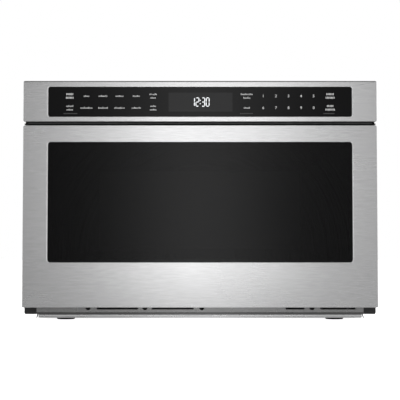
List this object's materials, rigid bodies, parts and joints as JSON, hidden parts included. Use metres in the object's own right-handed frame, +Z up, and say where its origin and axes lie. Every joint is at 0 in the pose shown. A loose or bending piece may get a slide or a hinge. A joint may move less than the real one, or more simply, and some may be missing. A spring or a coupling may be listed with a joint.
{
  "type": "microwave drawer",
  "caption": "Built-in microwave oven whose box slides out of the front as a powered drawer, under a fixed touch control panel, in a brushed steel front.",
  "frame": {"origin": "middle of the footprint, at the bottom of the feet", "axes": "+X to the right seen from the front, +Z up, the front faces -Y"},
  "size_m": [0.6064, 0.594, 0.4103],
  "materials": {
    "front_steel": "brushed across",
    "tinted_glass": "black tinted, polished",
    "clear_glass": "clear",
    "shelf_glass": "milky ceramic glass",
    "display": "dark display lens",
    "black_plastic": "moulded, satin",
    "frame_black": "black powder coat",
    "vent_grey": "grey paint",
    "galvanised": "galvanised sheet",
    "foot_rubber": "black rubber",
    "screw_steel": "zinc plated",
    "cavity_enamel": "light grey enamel",
    "drawer_steel": "satin stainless",
    "door_black": "black enamel",
    "mica": "pale sheet",
    "stirrer_metal": "plain",
    "motor_metal": "plated can",
    "magnetron_metal": "plain",
    "transformer_steel": "varnished laminations",
    "capacitor_metal": "plain can",
    "board_green": "circuit board",
    "white_plastic": "moulded",
    "rail_steel": "zinc plated steel"
  },
  "bodies": {
    "chassis": {"control_fascia": "front_steel", "control_glass": "tinted_glass", "display_module": "display", "control_board": "board_green", "control_housing": "black_plastic", "face_frame": "frame_black", "vent_plate": "vent_grey", "base_pan": "galvanised", "feet": "foot_rubber", "outer_cover": "galvanised", "rear_panel": "galvanised", "cord_gland": "black_plastic", "frame_screws": "screw_steel", "rear_screws": "screw_steel", "cavity_floor": "cavity_enamel", "cavity_ceiling": "cavity_enamel", "cavity_left_wall": "cavity_enamel", "cavity_right_wall": "cavity_enamel", "bulkhead": "galvanised", "stirrer_cover": "mica", "waveguide": "galvanised", "stirrer_motor": "motor_metal", "magnetron": "magnetron_metal", "power_transformer": "transformer_steel", "capacitor": "capacitor_metal", "noise_filter": "board_green", "fan_shroud": "galvanised", "fan_motor": "motor_metal", "cavity_lamp": "galvanised", "interlock_switches": "black_plastic", "rail_outer_left": "rail_steel", "rail_outer_right": "rail_steel", "drive_gearbox": "black_plastic", "drive_motor": "motor_metal"},
    "drawer": {"drawer_fascia": "front_steel", "drawer_glass": "tinted_glass", "glass_spacer": "black_plastic", "window_screen": "door_black", "door_frame": "door_black", "choke_cover": "black_plastic", "inner_window": "clear_glass", "drawer_left_wall": "drawer_steel", "drawer_right_wall": "drawer_steel", "drawer_back_wall": "drawer_steel", "drawer_floor": "drawer_steel", "glass_shelf": "shelf_glass", "rail_inner_left": "rail_steel", "rail_inner_right": "rail_steel", "rail_brackets": "galvanised", "drive_rack": "rail_steel", "latch_hooks": "black_plastic", "drawer_screws": "screw_steel"},
    "rail_middle_left": {"rail_middle_left": "rail_steel"},
    "rail_middle_right": {"rail_middle_right": "rail_steel"},
    "ball_cages_outer": {"rail_cages_outer": "rail_steel"},
    "ball_cages_inner": {"rail_cages_inner": "rail_steel"},
    "pinion": {"drive_pinion": "rail_steel"},
    "fan": {"fan_blade": "white_plastic"},
    "stirrer": {"stirrer": "stirrer_metal"},
    "plungers": {"interlock_plungers": "white_plastic"}
  },
  "joints": [
    {"name": "drawer_slide", "type": "slide", "parent": "chassis", "child": "drawer", "axis": [0, -1, 0], "range_m": [0, 0.381]},
    {"name": "rail_middle_left_slide", "type": "slide", "parent": "chassis", "child": "rail_middle_left", "axis": [0, -1, 0], "range_m": [0, 0.1905]},
    {"name": "rail_middle_right_slide", "type": "slide", "parent": "chassis", "child": "rail_middle_right", "axis": [0, -1, 0], "range_m": [0, 0.1905]},
    {"name": "cages_outer_slide", "type": "slide", "parent": "chassis", "child": "ball_cages_outer", "axis": [0, -1, 0], "range_m": [0, 0.09525]},
    {"name": "cages_inner_slide", "type": "slide", "parent": "chassis", "child": "ball_cages_inner", "axis": [0, -1, 0], "range_m": [0, 0.28575]},
    {"name": "pinion_spin", "type": "hinge", "parent": "chassis", "child": "pinion", "pos_m": [0.2551, -0.235, 0.025], "axis": [1, 0, 0], "range_deg": [0, 1285.1]},
    {"name": "plunger_slide", "type": "slide", "parent": "chassis", "child": "plungers", "axis": [0, -1, 0], "range_m": [0, 0.002]},
    {"name": "fan_spin", "type": "hinge", "parent": "chassis", "child": "fan", "pos_m": [0.095, 0.2285, 0.262], "axis": [1, 0, 0], "continuous": true},
    {"name": "stirrer_spin", "type": "hinge", "parent": "chassis", "child": "stirrer", "pos_m": [0, -0.05015, 0.308], "axis": [0, 0, 1], "continuous": true}
  ],
  "couplings": [
    {"joint": "rail_middle_left_slide", "follows": "drawer_slide", "ratio": 0.5},
    {"joint": "rail_middle_right_slide", "follows": "drawer_slide", "ratio": 0.5},
    {"joint": "cages_outer_slide", "follows": "drawer_slide", "ratio": 0.25},
    {"joint": "cages_inner_slide", "follows": "drawer_slide", "ratio": 0.75},
    {"joint": "pinion_spin", "follows": "drawer_slide", "rad_per_m": 58.824},
    {"joint": "plunger_slide", "follows": "drawer_slide", "ratio": 0.0052}
  ]
}
